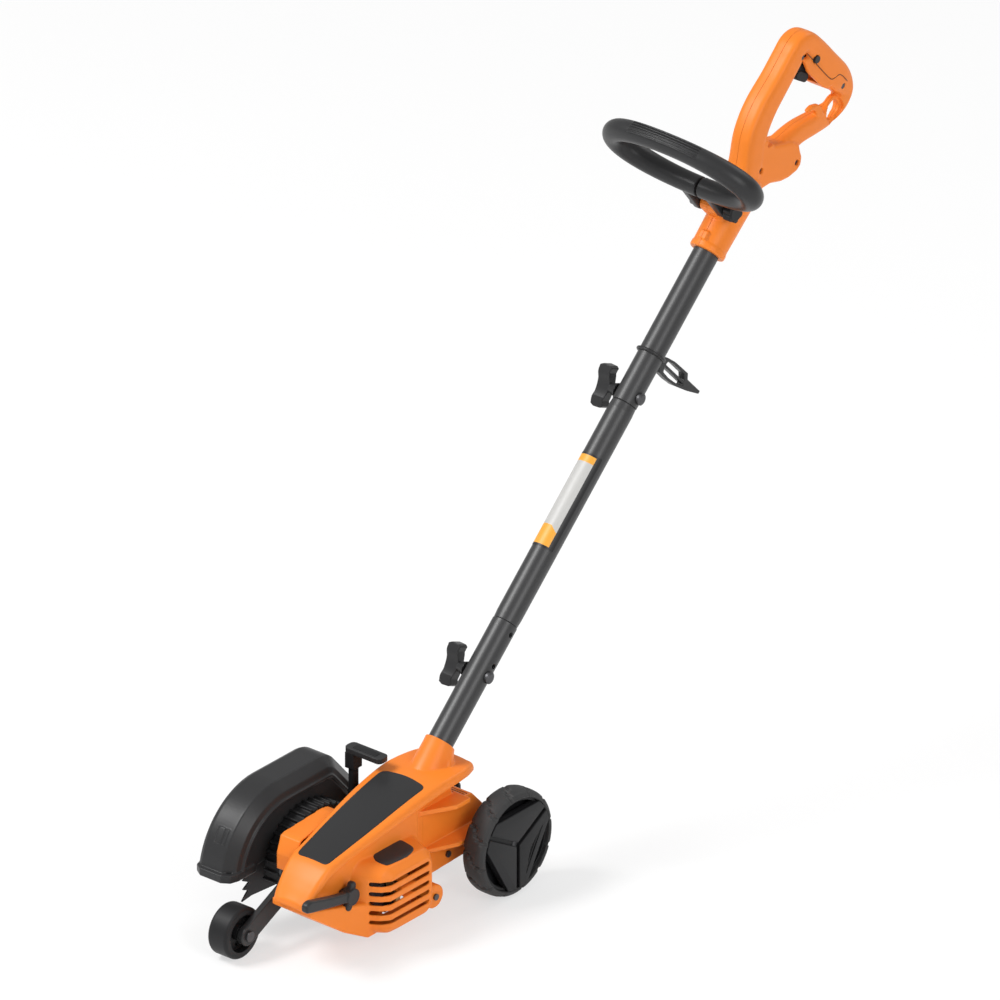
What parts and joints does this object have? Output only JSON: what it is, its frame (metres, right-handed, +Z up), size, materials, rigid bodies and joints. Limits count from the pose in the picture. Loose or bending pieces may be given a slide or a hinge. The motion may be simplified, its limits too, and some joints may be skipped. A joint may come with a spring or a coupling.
{
  "type": "lawn edger",
  "caption": "Corded lawn edger with a guarded side blade, wheeled motor head, depth lever, telescopic shaft, trigger D-handle and tilting loop handle.",
  "frame": {"origin": "on the ground under the centre of the bounding box", "axes": "+Z up, -Y forward in the direction of travel, +X to the operator's left; the blade is on the -X side"},
  "size_m": [0.261, 1.0716, 0.8751],
  "materials": {
    "orange_shell": "fine grain",
    "dark_plastic": "fine grain",
    "black_plastic": "satin",
    "tyre_rubber": "matt",
    "tube_paint": "satin",
    "label_film": "smooth",
    "zinc_steel": "zinc plated",
    "tool_steel": "ground",
    "lamination": "stacked sheet",
    "blade_steel": "dark",
    "contact_metal": "bright"
  },
  "bodies": {
    "head": {"spine_cover": "orange_shell", "top_panel": "dark_plastic", "lower_housing": "orange_shell", "motor_badge": "dark_plastic", "chassis": "orange_shell", "gear_case": "black_plastic", "housing_screws": "zinc_steel", "motor_stator": "lamination", "motor_bearings": "tool_steel", "brush_holders": "contact_metal", "blade_guard": "dark_plastic", "guard_screws": "zinc_steel", "spindle_bearings": "tool_steel", "left_axle": "zinc_steel", "lower_tube": "tube_paint", "lower_bolt": "zinc_steel", "arm_pivot_bolt": "zinc_steel", "lever_pivot": "zinc_steel"},
    "depth_carrier": {"depth_lever": "black_plastic", "lever_pad": "dark_plastic", "right_axle": "zinc_steel"},
    "right_wheel": {"right_tyre": "tyre_rubber", "right_hub": "black_plastic"},
    "left_wheel": {"left_tyre": "tyre_rubber", "left_hub": "black_plastic"},
    "front_arm": {"front_arm": "dark_plastic", "front_axle": "zinc_steel"},
    "front_wheel": {"front_wheel": "black_plastic"},
    "clamp_lever": {"clamp_lever": "dark_plastic"},
    "rotor": {"armature": "tool_steel", "commutator": "contact_metal", "cooling_fan": "black_plastic", "pinion": "tool_steel"},
    "blade_unit": {"spindle": "tool_steel", "drive_gear": "tool_steel", "blade": "blade_steel", "blade_flanges": "zinc_steel", "blade_nut": "zinc_steel"},
    "upper_shaft": {"middle_tube": "tube_paint", "upper_tube": "tube_paint", "shaft_label": "label_film", "cord_hook": "dark_plastic", "upper_bolt": "zinc_steel", "handle_left": "orange_shell", "handle_right": "orange_shell", "handle_screws": "zinc_steel", "switch_box": "black_plastic", "trigger_pin": "zinc_steel", "power_inlet": "black_plastic", "inlet_pins": "contact_metal"},
    "lower_knob": {"lower_knob": "dark_plastic"},
    "upper_knob": {"upper_knob": "dark_plastic"},
    "trigger": {"trigger": "black_plastic"},
    "lock_button": {"lock_button": "dark_plastic"},
    "aux_handle": {"aux_loop": "dark_plastic", "aux_bolt": "zinc_steel"},
    "aux_knob": {"aux_knob": "black_plastic"}
  },
  "joints": [
    {"name": "depth_lever_swing", "type": "hinge", "parent": "head", "child": "depth_carrier", "pos_m": [-0.0245, -0.25035, 0.098], "axis": [1, 0, 0], "range_deg": [0, 15]},
    {"name": "right_wheel_spin", "type": "hinge", "parent": "depth_carrier", "child": "right_wheel", "pos_m": [-0.0525, -0.17535, 0.067], "axis": [1, 0, 0], "continuous": true},
    {"name": "left_wheel_spin", "type": "hinge", "parent": "head", "child": "left_wheel", "pos_m": [0.0875, -0.17535, 0.067], "axis": [1, 0, 0], "continuous": true},
    {"name": "front_arm_swing", "type": "hinge", "parent": "head", "child": "front_arm", "pos_m": [-0.0375, -0.42535, 0.085], "axis": [1, 0, 0], "range_deg": [-12, 5]},
    {"name": "front_wheel_spin", "type": "hinge", "parent": "front_arm", "child": "front_wheel", "pos_m": [-0.0565, -0.50335, 0.0325], "axis": [1, 0, 0], "continuous": true},
    {"name": "clamp_lever_turn", "type": "hinge", "parent": "head", "child": "clamp_lever", "pos_m": [0.0555, -0.42535, 0.085], "axis": [1, 0, 0], "range_deg": [-55, 0]},
    {"name": "blade_spin", "type": "hinge", "parent": "head", "child": "blade_unit", "pos_m": [-0.0885, -0.35635, 0.0563], "axis": [1, 0, 0], "continuous": true},
    {"name": "motor_spin", "type": "hinge", "parent": "head", "child": "rotor", "pos_m": [0.0345, -0.34935, 0.07503], "axis": [1, 0, 0], "continuous": true},
    {"name": "shaft_slide", "type": "slide", "parent": "head", "child": "upper_shaft", "axis": [0, 0.7314, 0.682], "range_m": [0, 0.045]},
    {"name": "lower_knob_turn", "type": "hinge", "parent": "head", "child": "lower_knob", "pos_m": [-0.0195, -0.14644, 0.25462], "axis": [1, 0, 0], "continuous": true},
    {"name": "upper_knob_turn", "type": "hinge", "parent": "upper_shaft", "child": "upper_knob", "pos_m": [-0.0195, 0.13162, 0.51392], "axis": [1, 0, 0], "continuous": true},
    {"name": "trigger_pull", "type": "hinge", "parent": "upper_shaft", "child": "trigger", "pos_m": [0.0175, 0.46065, 0.852], "axis": [1, 0, 0], "range_deg": [0, 16], "stiffness_Nm_per_rad": 1, "springref_deg": -8.59},
    {"name": "lock_press", "type": "slide", "parent": "upper_shaft", "child": "lock_button", "axis": [-1, 0, 0], "range_m": [0, 0.003], "stiffness_N_per_m": 400, "springref_m": -0.004},
    {"name": "aux_tilt", "type": "hinge", "parent": "upper_shaft", "child": "aux_handle", "pos_m": [0.0175, 0.28425, 0.707], "axis": [1, 0, 0], "range_deg": [-25, 25]},
    {"name": "aux_knob_turn", "type": "hinge", "parent": "aux_handle", "child": "aux_knob", "pos_m": [0.0485, 0.28425, 0.707], "axis": [1, 0, 0], "continuous": true}
  ],
  "couplings": [
    {"joint": "motor_spin", "follows": "blade_spin", "ratio": -4}
  ]
}
